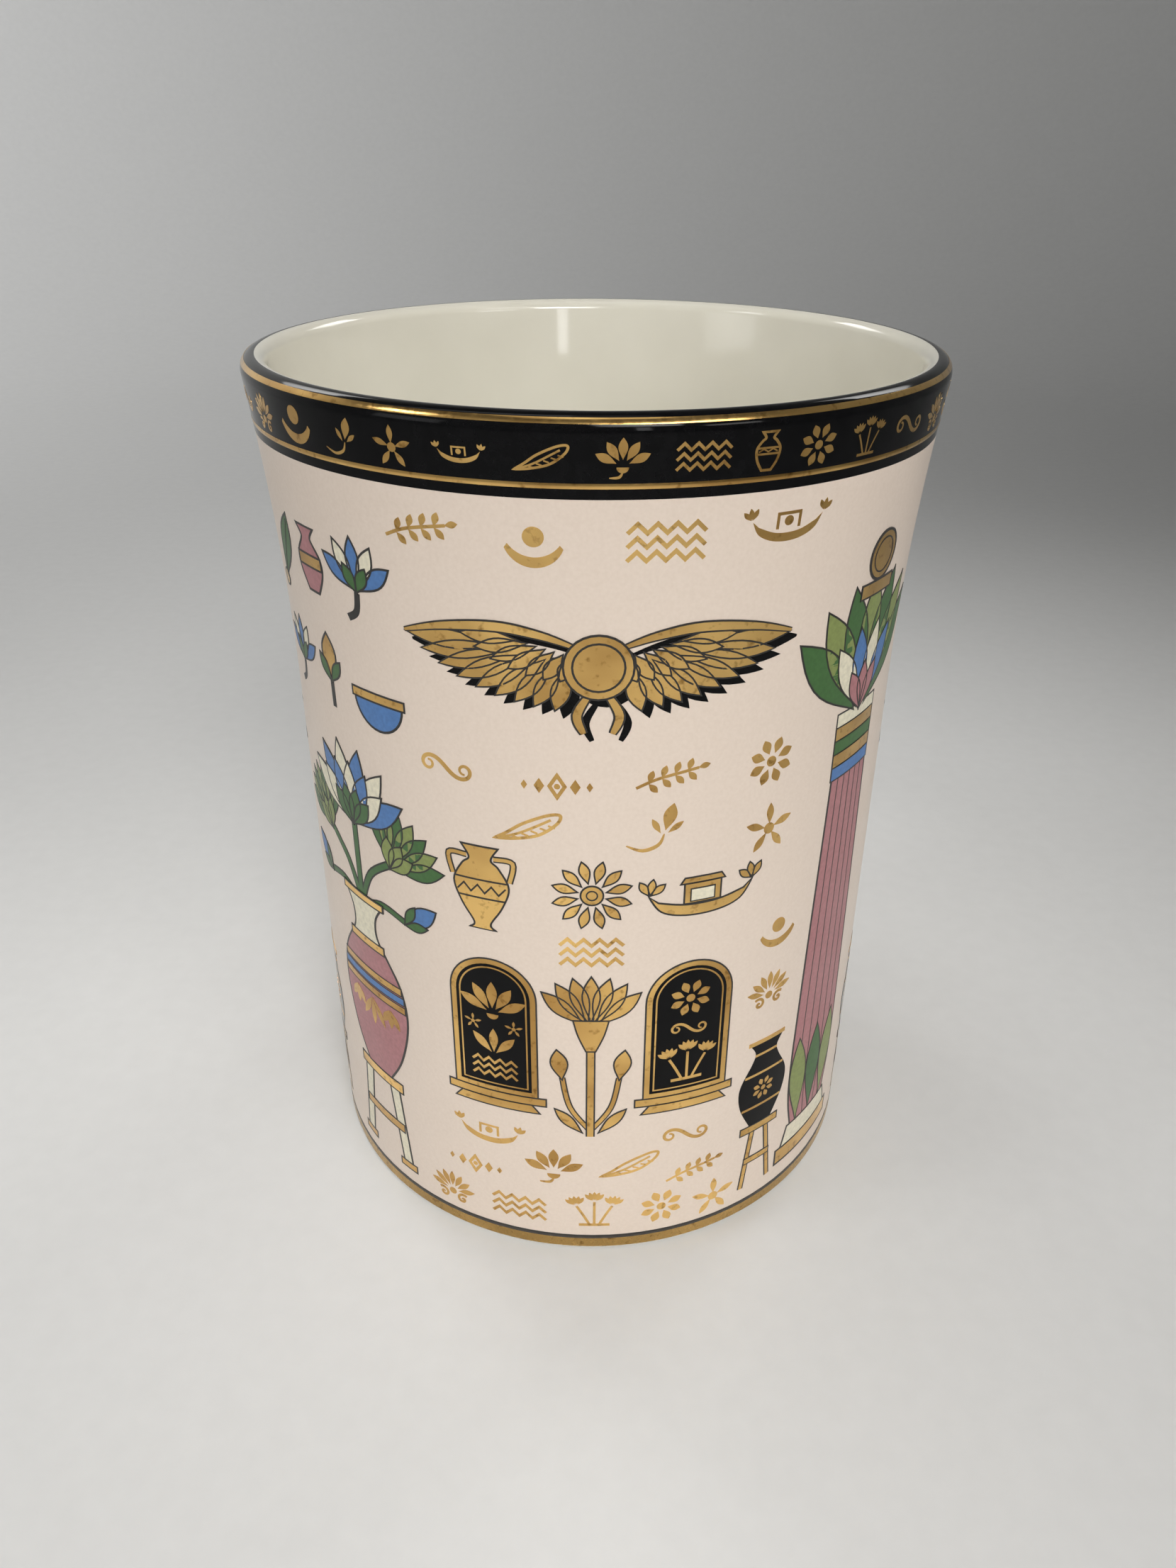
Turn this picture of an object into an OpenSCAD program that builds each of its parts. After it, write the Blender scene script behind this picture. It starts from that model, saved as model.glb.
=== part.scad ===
// Tall porcelain coffee cup with a flared lip, an ear handle and fired colour coats.
// Millimetres, +Z up. The origin is on the cup's axis, in the plane that it stands on.
// The decorated front faces -Y and the handle points to +Y.

/* [Cup] */
// Height from the table to the crest of the lip
cup_h = 108; // [95:1:125]
// Outside diameter at the lip
rim_d = 80; // [78:0.5:92]
// Outside diameter of the straight wall
body_d = 75.4; // [68:0.2:77]
// Height at which the straight wall starts to flare
flare_z = 71; // [50:1:85]
// Thickness of the straight wall
wall_t = 3.4; // [2.6:0.1:5]
// Thickness of the rounded lip
lip_t = 3; // [2:0.1:3.6]

/* [Base] */
// Thickness from the table to the top of the inside floor
floor_h = 6; // [4.5:0.1:9]
// Radius between the inside wall and the floor
floor_fillet_r = 9; // [4:0.5:14]
// Depth of the recess under the floor
recess_h = 1.8; // [0.8:0.1:2.6]
// Width of the flat ring that the cup stands on
foot_ring_w = 2.6; // [1.8:0.1:5]
// Run of the slope inside the foot ring
foot_slope_w = 1.4; // [0.6:0.1:3]
// Radius of the outside bottom edge
foot_edge_r = 0.5; // [0.2:0.05:0.9]

/* [Handle] */
// Height of the middle of the upper root
handle_top_z = 82; // [70:1:88]
// Height of the middle of the lower root
handle_low_z = 30; // [20:1:40]
// Reach of the handle's centre line from the wall
handle_reach = 27; // [20:1:34]
// Rise of the upper pull point over its root
handle_rise = 10; // [0:1:16]
// Drop of the lower pull point under its root
handle_drop = 4; // [0:1:14]
// Width across the grip
grip_w = 11; // [7:0.5:14]
// Thickness of the grip
grip_t = 7.4; // [5:0.2:9]
// Width across each root
root_w = 15; // [10:0.5:20]
// Thickness of each root
root_t = 11.5; // [8:0.5:15]

/* [Coats] */
// Thickness of the fired enamel and of the glaze lining
coat_t = 0.12; // [0.06:0.01:0.3]
// Clearance between the porcelain and the coats and handle on it
coat_gap = 0.02; // [0.01:0.005:0.05]
// Height of the gilt lines over the rim band
gilt_t = 0.06; // [0.05:0.01:0.15]
// Depth to which the upper gilt line is let into the lip's round
gilt_sink = 0.05; // [0.02:0.01:0.05]
// Height of the black band, down from the crest
band_h = 7.6; // [5:0.1:10]
// Depth of the upper gilt line's top under the crest
upper_line_drop = 0.3; // [0.2:0.05:0.6]
// Depth of the lower gilt line's top under the crest
lower_line_drop = 6.1; // [3:0.1:6.4]
// Height of each gilt line on the rim band
rim_line_h = 0.5; // [0.3:0.05:0.9]
// Height of the bottom of the gilt base line
base_line_z = 0.6; // [0.5:0.05:1]
// Height of the gilt base line
base_gold_h = 1.5; // [0.8:0.1:3]
// Height of the dark line on top of the gilt base line
base_dark_h = 0.4; // [0.2:0.05:1]

/* [Hidden] */

turn_fn = 180;      // facets of a full turn in previews
arc_fn = 1440;      // facets of the long, shallow flare arcs
handle_rings = 40;  // sections along the handle
handle_sides = 24;  // points round one section
section_power = 2.5;  // squareness of the handle's section
root_power = 3;     // how late the grip swells into its roots
root_rings = 8;     // sections at each end that cover the handle's roots
over = 1;           // overshoot of cutting shapes
lap = 0.005;        // how far the lip's round overlaps the flares, so that they cross cleanly

body_r = body_d / 2;
bore_r = body_r - wall_t;
lip_r = lip_t / 2;
lip_mid_r = rim_d / 2 - lip_r;
lip_mid_z = cup_h - lip_r;

// Each flare is one arc, tangent to the straight wall and, but for the lap, to the lip's round.
// A positive radius bends the wall outwards, and a negative one inwards.
flare_run = lip_mid_z - flare_z;
outer_gap = lip_mid_r - body_r;
inner_gap = lip_mid_r - bore_r;
touch_r = lip_r - lap;
outer_flare_r = (pow(flare_run, 2) + pow(outer_gap, 2) - pow(touch_r, 2)) / (2 * (outer_gap + touch_r));
inner_flare_r = (pow(flare_run, 2) + pow(inner_gap, 2) - pow(touch_r, 2)) / (2 * (inner_gap - touch_r));
outer_centre = [body_r + outer_flare_r, flare_z];
inner_centre = [bore_r + inner_flare_r, flare_z];
lip_centre = [lip_mid_r, lip_mid_z];

// Points where the flares meet the lip's round, for a surface moved out of the finished one by grow
function unit(v) = v / norm(v);
function outer_touch(grow) =
    lip_centre + (touch_r + grow) * sign(outer_flare_r) * unit(outer_centre - lip_centre);
function inner_touch(grow) =
    lip_centre + (touch_r + grow) * sign(inner_flare_r) * unit(lip_centre - inner_centre);

// Point of the finished outside at a height above the flare's start
function outside_point(z) =
    z > outer_touch(0)[1]
        ? [lip_mid_r + sqrt(pow(lip_r, 2) - pow(z - lip_mid_z, 2)), z]
        : [outer_centre[0] - sign(outer_flare_r) * sqrt(pow(outer_flare_r, 2) - pow(z - flare_z, 2)), z];

porcelain_depth = coat_t + coat_gap;
band_z = cup_h - band_h;
base_dark_z = base_line_z + base_gold_h;
ground_z = base_dark_z + base_dark_h;

// The handle's centre line is one cubic curve in the YZ plane, from wall to wall.
root_y = body_r - wall_t / 2;
pull_y = root_y + (handle_reach + wall_t / 2) * 4 / 3;
handle_pulls = [
    [root_y, handle_top_z],
    [pull_y, handle_top_z + handle_rise],
    [pull_y, handle_low_z - handle_drop],
    [root_y, handle_low_z]
];

function cubic(p, t) =
    pow(1 - t, 3) * p[0] + 3 * pow(1 - t, 2) * t * p[1] + 3 * (1 - t) * t * t * p[2] + t * t * t * p[3];
function cubic_slope(p, t) =
    3 * pow(1 - t, 2) * (p[1] - p[0]) + 6 * (1 - t) * t * (p[2] - p[1]) + 3 * t * t * (p[3] - p[2]);
function swell(mid, root, t) = mid + (root - mid) * pow(abs(2 * t - 1), root_power);
function squarish(v) = sign(v) * pow(abs(v), 2 / section_power);

// One section of the handle, square to its centre line
function handle_ring(t) =
    let (
        mid = cubic(handle_pulls, t),
        along = unit(cubic_slope(handle_pulls, t)),
        half_w = swell(grip_w, root_w, t) / 2,
        half_t = swell(grip_t, root_t, t) / 2
    )
    [for (i = [0 : handle_sides - 1])
        let (
            a = 360 * i / handle_sides,
            x = half_w * squarish(cos(a)),
            n = half_t * squarish(sin(a))
        )
        [x, mid[0] - n * along[1], mid[1] + n * along[0]]];

// Half section from the axis out to a flare's arc, up to a height
module flare_outline(centre, flare_r, top_z) {
    reach = body_d + rim_d;
    if (flare_r > 0)
        difference() {
            translate([0, flare_z])
                square([reach, top_z - flare_z]);
            translate(centre)
                circle(r = flare_r, $fn = arc_fn);
        }
    else
        intersection() {
            translate([0, flare_z])
                square([reach, top_z - flare_z]);
            translate(centre)
                circle(r = -flare_r, $fn = arc_fn);
        }
}

// Half section from the axis to the outside, moved out of the finished surface by grow
module outer_outline(grow) {
    difference() {
        square([body_r + grow, flare_z]);
        translate([body_r + grow - foot_edge_r, -over])
            square([foot_edge_r + over, foot_edge_r + over]);
    }
    translate([body_r + grow - foot_edge_r, foot_edge_r])
        circle(r = foot_edge_r, $fn = turn_fn);
    translate([0, floor_h])
        square([min(body_r + grow, lip_mid_r), lip_mid_z - floor_h]);
    flare_outline(outer_centre, outer_flare_r - grow, outer_touch(grow)[1]);
    translate([0, lip_mid_z - lip_r])
        square([lip_mid_r, inner_touch(grow)[1] - lip_mid_z + lip_r]);
    translate(lip_centre)
        circle(r = lip_r + grow, $fn = turn_fn);
}

// Half section of the hollow, moved into it from its finished surface by grow
module cavity_outline(grow) {
    touch = inner_touch(grow);
    floor_z = floor_h + grow;
    fillet_r = floor_fillet_r - grow;
    fillet_mid_r = bore_r - floor_fillet_r;
    translate([0, floor_z])
        square([fillet_mid_r, flare_z - floor_z]);
    translate([fillet_mid_r, floor_z + fillet_r])
        circle(r = fillet_r, $fn = turn_fn);
    translate([0, floor_z + fillet_r])
        square([bore_r - grow, flare_z - floor_z - fillet_r]);
    translate([0, floor_z + fillet_r])
        square([min(bore_r, lip_mid_r - lip_r) - grow, lip_mid_z - floor_z - fillet_r]);
    intersection() {
        flare_outline(inner_centre, inner_flare_r + grow, touch[1] + lip_r / 4);
        square([max(bore_r - grow, lip_mid_r), cup_h]);
    }
    difference() {
        translate([0, touch[1]])
            square([lip_mid_r, cup_h + over - touch[1]]);
        translate(lip_centre)
            circle(r = lip_r + grow, $fn = turn_fn);
    }
}

// Recess that leaves the foot ring standing
module recess_outline() {
    ring_in_r = body_r - porcelain_depth - foot_edge_r - foot_ring_w;
    polygon([
        [0, -over],
        [ring_in_r, -over],
        [ring_in_r, 0],
        [ring_in_r - foot_slope_w, recess_h],
        [0, recess_h]
    ]);
}

// Section of a coat on the outside between two heights, ending at the lip's crest
module coat_outline(z_low, z_high) {
    intersection() {
        difference() {
            outer_outline(0);
            outer_outline(-coat_t);
            translate([0, lip_mid_z])
                square([lip_mid_r, lip_r + over]);
        }
        translate([0, z_low])
            square([body_d + rim_d, z_high - z_low]);
    }
}

// Section of a gilt line on the rim band, its top edge a drop under the crest, let in by sink
module gilt_outline(drop, sink) {
    high = outside_point(cup_h - drop);
    low = outside_point(cup_h - drop - rim_line_h);
    out = unit([high[1] - low[1], low[0] - high[0]]);
    polygon([
        low - sink * out,
        low + gilt_t * out,
        high + gilt_t * out,
        high - sink * out
    ]);
}

// The handle's sweep from one ring to another
module handle_sweep(first, last) {
    points = [for (k = [first : last]) each handle_ring(k / handle_rings)];
    spans = last - first;
    sides = [for (k = [0 : spans - 1], i = [0 : handle_sides - 1])
        let (
            a = k * handle_sides + i,
            b = k * handle_sides + (i + 1) % handle_sides
        )
        each [[a, b, a + handle_sides], [b, b + handle_sides, a + handle_sides]]];
    caps = [
        [for (i = [handle_sides - 1 : -1 : 0]) i],
        [for (i = [0 : handle_sides - 1]) spans * handle_sides + i]
    ];
    polyhedron(points = points, faces = concat(sides, caps));
}

module cup_body() {
    color("whitesmoke")
        rotate_extrude($fn = turn_fn)
            difference() {
                outer_outline(-porcelain_depth);
                cavity_outline(-porcelain_depth);
                recess_outline();
            }
}

module handle() {
    color("whitesmoke")
        difference() {
            handle_sweep(0, handle_rings);
            rotate_extrude($fn = turn_fn)
                outer_outline(-coat_t);
        }
}

module inner_glaze() {
    color("ivory")
        rotate_extrude($fn = turn_fn)
            difference() {
                cavity_outline(-coat_t);
                cavity_outline(0);
            }
}

module ground_coat() {
    color("mistyrose")
        difference() {
            rotate_extrude($fn = turn_fn)
                coat_outline(ground_z, band_z);
            handle_sweep(0, root_rings);
            handle_sweep(handle_rings - root_rings, handle_rings);
        }
}

module rim_band() {
    color("black")
        rotate_extrude($fn = turn_fn)
            difference() {
                coat_outline(band_z, cup_h + over);
                gilt_outline(upper_line_drop, gilt_sink);
            }
}

module rim_line_upper() {
    color("goldenrod")
        rotate_extrude($fn = turn_fn)
            gilt_outline(upper_line_drop, gilt_sink);
}

module rim_line_lower() {
    color("goldenrod")
        rotate_extrude($fn = turn_fn)
            gilt_outline(lower_line_drop, 0);
}

module base_line_dark() {
    color("dimgray")
        rotate_extrude($fn = turn_fn)
            coat_outline(base_dark_z, ground_z);
}

module base_line_gold() {
    color("goldenrod")
        rotate_extrude($fn = turn_fn)
            coat_outline(base_line_z, base_dark_z);
}

cup_body();
handle();
inner_glaze();
ground_coat();
rim_band();
rim_line_upper();
rim_line_lower();
base_line_dark();
base_line_gold();
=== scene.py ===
"""Looks of a printed porcelain coffee cup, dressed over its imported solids.

Metres, +Z up, in the part's own frame: the cup's axis is Z, its printed front faces -Y and its handle +Y.
The print is drawn in millimetres on the unrolled wall and wrapped round it, one thin piece for each ink.
"""

import math

import bmesh
import bpy
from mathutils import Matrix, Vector
from mathutils.geometry import tessellate_polygon


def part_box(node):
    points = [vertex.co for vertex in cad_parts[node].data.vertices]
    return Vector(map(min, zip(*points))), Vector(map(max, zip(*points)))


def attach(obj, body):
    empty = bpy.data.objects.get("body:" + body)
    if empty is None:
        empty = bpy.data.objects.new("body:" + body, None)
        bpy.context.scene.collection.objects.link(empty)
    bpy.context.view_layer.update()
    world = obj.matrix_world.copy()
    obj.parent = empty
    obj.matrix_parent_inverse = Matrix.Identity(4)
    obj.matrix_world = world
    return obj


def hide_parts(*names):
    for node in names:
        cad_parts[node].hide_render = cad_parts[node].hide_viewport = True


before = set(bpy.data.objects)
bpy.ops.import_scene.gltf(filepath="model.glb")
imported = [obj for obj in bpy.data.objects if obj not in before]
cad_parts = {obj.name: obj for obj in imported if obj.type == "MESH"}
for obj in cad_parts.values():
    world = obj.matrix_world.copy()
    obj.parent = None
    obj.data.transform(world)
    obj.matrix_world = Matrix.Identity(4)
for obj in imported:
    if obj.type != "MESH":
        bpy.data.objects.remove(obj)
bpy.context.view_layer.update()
MM = 0.001

# Picture and camera: the focal length is in pixels of the whole picture
IMAGE_W = 1659
IMAGE_H = 2212
FOCAL_PX = 1660
SENSOR_W = 36
CAMERA_PLACE = (0, -0.143586, 0.129529)
CAMERA_TURN_DEG = (60.836, -0.25, 0.4045)
CLIP_START = 0.01

# The cup's outside in millimetres: its pieces' boxes give all but the flare's start and the lip's round
BODY_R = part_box("base_line_gold")[1].x / MM
RIM_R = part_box("rim_band")[1].y / MM
CUP_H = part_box("rim_band")[1].z / MM
FLARE_Z = 71
LIP_R = 1.5
LIP_MID_R = RIM_R - LIP_R
LIP_MID_Z = CUP_H - LIP_R
FLARE_RUN = LIP_MID_Z - FLARE_Z
FLARE_GAP = LIP_MID_R - BODY_R
FLARE_R = (FLARE_RUN ** 2 + FLARE_GAP ** 2 - LIP_R ** 2) / (2 * (FLARE_GAP + LIP_R))
TOUCH_DEG = -math.degrees(math.atan2(FLARE_RUN, FLARE_R - FLARE_GAP))

# The cup's inside, and the coats on it: an angle on the lip's round is 0 outwards and 90 at the crest
BORE_R = BODY_R - 3.4
FLOOR_Z = 6
FLOOR_FILLET = 9
BORE_GAP = LIP_MID_R - BORE_R
BORE_FLARE_R = (FLARE_RUN ** 2 + BORE_GAP ** 2 - LIP_R ** 2) / (2 * (BORE_GAP - LIP_R))
BORE_TOUCH_DEG = 180 - math.degrees(math.atan2(FLARE_RUN, BORE_FLARE_R - BORE_GAP))
COAT_T = 0.12
BAND_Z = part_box("rim_band")[0].z / MM
BAND_END_DEG = 96
UPPER_LINE_DEG = (26, 49)
LOWER_LINE = (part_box("rim_line_lower")[0].z / MM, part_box("rim_line_lower")[1].z / MM)
GILT_T = 0.03
GILT_ROOT = 0.05
TURN_SIDES = 360
BAND_STEPS = 24
BAND_LIP_STEPS = 36
LINING_LIP_STEPS = 28
LINING_FLARE_STEPS = 32
FILLET_STEPS = 24
UPPER_LINE_STEPS = 12
LOWER_LINE_STEPS = 8

# Ink film: how far its top lies over the wall, what each further layer adds, and how deep its foot goes
INK_T = 0.022
INK_STEP = 0.012
INK_ROOT = 0.03
SLICE_ACROSS = 1.0
SLICE_UP = 3.0
LINE_W = 0.3
MITRE_MAX = 2
LEAST_AREA = 1e-7
LEAST_STEP = 1e-6
CUT_SLACK = 1e-5
SHARP_DEG = 40


def wall_radius(z):
    """Outside radius of the finished cup at a height."""
    if z <= FLARE_Z:
        return BODY_R
    if z < LIP_MID_Z:
        return BODY_R + FLARE_R - math.sqrt(FLARE_R ** 2 - (z - FLARE_Z) ** 2)
    return LIP_MID_R + math.sqrt(max(LIP_R ** 2 - (z - LIP_MID_Z) ** 2, 0))


# Materials: a scale is in features per metre, and a relief in metres


NOISE_ENDS = (0.3, 0.7)
DRIFT_SHARE = 0.06
ENAMEL_SHINE = 0.5
MIX_FACTOR = 0
MIX_COLOURS = (6, 7)
MIX_RESULT = 2
UNWORN = (1, 1, 1)
WORN_SHADE = (0.5, 0.44, 0.36)
WORN_SCALE = 1100
WORN_ENDS = (0.58, 0.74)
# The gold's slow tone drift is partly painted reflection: its bright and brown patches stand in for light and
# dark surroundings mirrored in the gold, and partly the real unevenness of fired gilding
GILT_TONE_AND_REFLECTION_SCALE = 75
GILT_TONE_AND_REFLECTION_ENDS = (0.36, 0.64)
GILT_GRAIN = 1500
GILT_RELIEF = 0.0006 * MM
CLAY_GRAIN = 1800
CLAY_RELIEF = 0.004 * MM
SOLE_Z = (0.15, 0.4)
GLAZE_GRAIN = 90
INK_GRAIN = 1800
INK_RELIEF = 0.003 * MM
INK_ROUGH = (0.32, 0.44)
INK_TONES = (0.88, 1.1)


def new_material(name):
    """A material, its node tree and its Principled shader."""
    mat = bpy.data.materials.new(name)
    mat.use_nodes = True
    tree = mat.node_tree
    return mat, tree, tree.nodes["Principled BSDF"]


def noise(tree, scale, detail=2.0):
    """Noise in object space."""
    place = tree.nodes.new("ShaderNodeTexCoord")
    node = tree.nodes.new("ShaderNodeTexNoise")
    node.inputs["Scale"].default_value = scale
    node.inputs["Detail"].default_value = detail
    tree.links.new(place.outputs["Object"], node.inputs["Vector"])
    return node.outputs["Fac"]


def ramp(tree, factor, low, high, ends=NOISE_ENDS):
    """Colour that runs from low to high as the factor goes from one end to the other."""
    node = tree.nodes.new("ShaderNodeValToRGB")
    first, last = node.color_ramp.elements
    first.position, last.position = ends
    first.color = (*low, 1)
    last.color = (*high, 1)
    tree.links.new(factor, node.inputs["Fac"])
    return node.outputs["Color"]


def ranged(tree, factor, source, target=(0, 1)):
    """The factor mapped from one range onto another."""
    node = tree.nodes.new("ShaderNodeMapRange")
    names = ("From Min", "From Max", "To Min", "To Max")
    for name, value in zip(names, (*source, *target)):
        node.inputs[name].default_value = value
    tree.links.new(factor, node.inputs["Value"])
    return node.outputs["Result"]


def relief(tree, factor, shader, depth):
    """Surface relief of a depth."""
    node = tree.nodes.new("ShaderNodeBump")
    node.inputs["Distance"].default_value = depth
    tree.links.new(factor, node.inputs["Height"])
    tree.links.new(node.outputs["Normal"], shader.inputs["Normal"])


def mixed(tree, factor, low, high, blend="MIX"):
    """Two colours mixed by a factor, or by 1 where there is none."""
    node = tree.nodes.new("ShaderNodeMix")
    node.data_type = "RGBA"
    node.blend_type = blend
    node.inputs[MIX_FACTOR].default_value = 1
    if factor:
        tree.links.new(factor, node.inputs[MIX_FACTOR])
    for socket, colour in zip(MIX_COLOURS, (low, high)):
        tree.links.new(colour, node.inputs[socket])
    return node.outputs[MIX_RESULT]


def enamel(name, low, high, grain, rough, depth, shine=ENAMEL_SHINE):
    """Fired colour: two tones mixed by a grain, a roughness that drifts, and a fine relief."""
    mat, tree, shader = new_material(name)
    fine = noise(tree, grain, 3)
    tree.links.new(ramp(tree, fine, low, high), shader.inputs["Base Color"])
    wide = noise(tree, grain * DRIFT_SHARE)
    tree.links.new(ranged(tree, wide, NOISE_ENDS, rough), shader.inputs["Roughness"])
    relief(tree, fine, shader, depth)
    shader.inputs["Specular IOR Level"].default_value = shine
    return mat


def gilding(name, low, high, rough):
    """Fired gold: brushed on, so that its tone and its gloss drift, partly as painted reflection, and rubbed
    thin in specks.
    """
    mat, tree, shader = new_material(name)
    # Painted reflection: the slow drift from low to high gold stands partly for bright and dark surroundings
    # mirrored in the gold, and partly for the gilding's own unevenness
    tone = ramp(tree, noise(tree, GILT_TONE_AND_REFLECTION_SCALE, 3), low, high, GILT_TONE_AND_REFLECTION_ENDS)
    worn = ramp(tree, noise(tree, WORN_SCALE, 4), UNWORN, WORN_SHADE, WORN_ENDS)
    tree.links.new(mixed(tree, None, tone, worn, "MULTIPLY"), shader.inputs["Base Color"])
    fine = noise(tree, GILT_GRAIN, 3)
    tree.links.new(ranged(tree, fine, NOISE_ENDS, rough), shader.inputs["Roughness"])
    relief(tree, fine, shader, GILT_RELIEF)
    shader.inputs["Metallic"].default_value = 1
    return mat


def footing(name, bare, glazed, rough):
    """Bare fired clay on the sole of the foot ring, and clear glaze above it in the recess."""
    mat, tree, shader = new_material(name)
    place = tree.nodes.new("ShaderNodeTexCoord")
    parts = tree.nodes.new("ShaderNodeSeparateXYZ")
    tree.links.new(place.outputs["Object"], parts.inputs["Vector"])
    above = ranged(tree, parts.outputs["Z"], [z * MM for z in SOLE_Z])
    fine = noise(tree, CLAY_GRAIN, 3)
    clay = ramp(tree, fine, *bare)
    glaze = ramp(tree, noise(tree, GLAZE_GRAIN, 3), *glazed)
    tree.links.new(mixed(tree, above, clay, glaze), shader.inputs["Base Color"])
    low, high = [[value] * 3 for value in rough]
    tree.links.new(ramp(tree, above, low, high, (0, 1)), shader.inputs["Roughness"])
    relief(tree, fine, shader, CLAY_RELIEF)
    return mat


def ink(name, colour):
    """Screen-printed enamel, with the faint unevenness of a fired film."""
    low, high = [[c * tone for c in colour] for tone in INK_TONES]
    return enamel(name, low, high, INK_GRAIN, INK_ROUGH, INK_RELIEF)


BARE_CLAY = ((0.6, 0.56, 0.49), (0.7, 0.66, 0.58))
IVORY = ((0.75, 0.72, 0.62), (0.79, 0.76, 0.66))
PINK = ((0.72, 0.607, 0.515), (0.757, 0.645, 0.553))
BLACK = ((0.002, 0.002, 0.0023), (0.004, 0.004, 0.0045))
DARK_BROWN = ((0.03, 0.026, 0.022), (0.06, 0.052, 0.045))
PALE_ROSE = ((0.735, 0.64, 0.55), (0.775, 0.68, 0.59))

GROUND = enamel("pink_ground", *PINK, 2400, (0.32, 0.42), 0.004 * MM)
BAND = enamel("black_enamel", *BLACK, 900, (0.05, 0.1), 0.001 * MM, shine=0.12)
DARK = enamel("dark_line", *DARK_BROWN, 1500, (0.3, 0.45), 0.003 * MM)
GLAZE = enamel("ivory_glaze", *IVORY, GLAZE_GRAIN, (0.06, 0.1), 0.012 * MM)
FOOT = footing("foot_clay", BARE_CLAY, IVORY, (0.65, 0.1))
GILT = gilding("gilt", (0.54, 0.31, 0.095), (1, 0.65, 0.23), (0.1, 0.22))
FOOT_GILT = gilding("foot_gilt", (0.44, 0.28, 0.095), (0.6, 0.39, 0.14), (0.2, 0.32))
HANDLE_GLAZE = enamel("handle_glaze", *PALE_ROSE, GLAZE_GRAIN, (0.04, 0.08), 0.01 * MM)

INKS = {
    "gold": GILT,
    "black": BAND,
    "line": ink("print_line", (0.02, 0.018, 0.016)),
    "green": ink("print_green", (0.045, 0.127, 0.032)),
    "olive": ink("print_olive", (0.22, 0.27, 0.08)),
    "blue": ink("print_blue", (0.07, 0.18, 0.42)),
    "mauve": ink("print_mauve", (0.4, 0.17, 0.18)),
    "cream": ink("print_cream", (0.75, 0.7, 0.54)),
}


# Drawing in the flat, in millimetres: a function returns points, or patches of (ink, layer, points, faces)


def steps(count):
    """Even shares from 0 to 1."""
    return [i / count for i in range(count + 1)]


def arc(x, y, r, start, end, count=16):
    """Points on an arc, between two angles in degrees."""
    angles = [math.radians(start + (end - start) * t) for t in steps(count)]
    return [(x + r * math.cos(a), y + r * math.sin(a)) for a in angles]


def circle(x, y, r, count=28):
    return arc(x, y, r, 0, 360, count)[:-1]


def rectangle(x0, y0, x1, y1):
    return [(x0, y0), (x1, y0), (x1, y1), (x0, y1)]


def moved(points, x=0, y=0, turn=0, size=1, flip=1):
    """Points mirrored, scaled, turned in degrees and shifted, in that order."""
    c = size * math.cos(math.radians(turn))
    s = size * math.sin(math.radians(turn))
    return [(x + c * flip * px - s * py, y + s * flip * px + c * py) for px, py in points]


def smooth(points, count=6):
    """Open curve through the points."""
    line = [points[0], *points, points[-1]]
    out = []
    for p0, p1, p2, p3 in zip(line, line[1:], line[2:], line[3:]):
        for t in steps(count)[:-1]:
            weights = (
                -t + 2 * t * t - t ** 3,
                2 - 5 * t * t + 3 * t ** 3,
                t + 4 * t * t - 3 * t ** 3,
                t ** 3 - t * t,
            )
            out.append(tuple(sum(w * p[k] for w, p in zip(weights, (p0, p1, p2, p3))) / 2 for k in (0, 1)))
    return out + [points[-1]]


def turned(profile):
    """Closed loop from a half profile of (half width, height) points, mirrored about the upright axis."""
    right = smooth(profile)
    left = [(-x, y) for x, y in reversed(right) if x > 0]
    return [p for p in right if p[0] >= 0] + left


def petal(x, y, turn, length, width):
    """Almond loop from a base point, widest past its middle."""
    side = [(length * t, width / 2 * math.sin(math.pi * t ** 1.2)) for t in steps(10)]
    return moved(side + [(a, -b) for a, b in reversed(side[1:-1])], x, y, turn)


def spiral(x, y, r, turns, start, count=40):
    """Spiral from its centre outwards."""
    out = []
    for t in steps(count):
        a = math.radians(start) + 2 * math.pi * turns * t
        out.append((x + r * t * math.cos(a), y + r * t * math.sin(a)))
    return out


def fill(name, loop, layer=0):
    """Solid patch inside a closed loop."""
    faces = []
    for a, b, c in tessellate_polygon([[Vector((*p, 0)) for p in loop]]):
        (ax, ay), (bx, by), (cx, cy) = loop[a], loop[b], loop[c]
        area = (bx - ax) * (cy - ay) - (by - ay) * (cx - ax)
        if abs(area) > LEAST_AREA:
            faces.append((a, b, c) if area > 0 else (a, c, b))
    return [(name, layer, loop, faces)]


def stroke(name, line, width=LINE_W, layer=0, closed=False, taper=1.0):
    """Ribbon along a line, mitred at its corners and thinner at its ends by the taper."""
    count = len(line)
    left = []
    right = []
    for i, (x, y) in enumerate(line):
        before = line[i - 1] if closed or i else line[0]
        after = line[(i + 1) % count] if closed or i < count - 1 else line[-1]
        ways = [Vector((x - before[0], y - before[1])), Vector((after[0] - x, after[1] - y))]
        ways = [w.normalized() for w in ways if w.length > LEAST_STEP]
        way = sum(ways, Vector((0, 0))).normalized()
        mitre = 1 / max(way.dot(ways[0]), 1 / MITRE_MAX)
        end = 1 if closed else taper + (1 - taper) * math.sin(math.pi * i / (count - 1))
        half = width / 2 * mitre * end
        left.append((x - way.y * half, y + way.x * half))
        right.append((x + way.y * half, y - way.x * half))
    last = count if closed else count - 1
    faces = [(i, count + i, count + (i + 1) % count, (i + 1) % count) for i in range(last)]
    return [(name, layer, left + right, faces)]


def shape(name, loop, layer=0, line=LINE_W):
    """Filled loop with a dark outline, or without one where line is 0."""
    parts = fill(name, loop, layer)
    if line:
        parts += stroke("line", loop, line, layer + 1, closed=True)
    return parts


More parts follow.
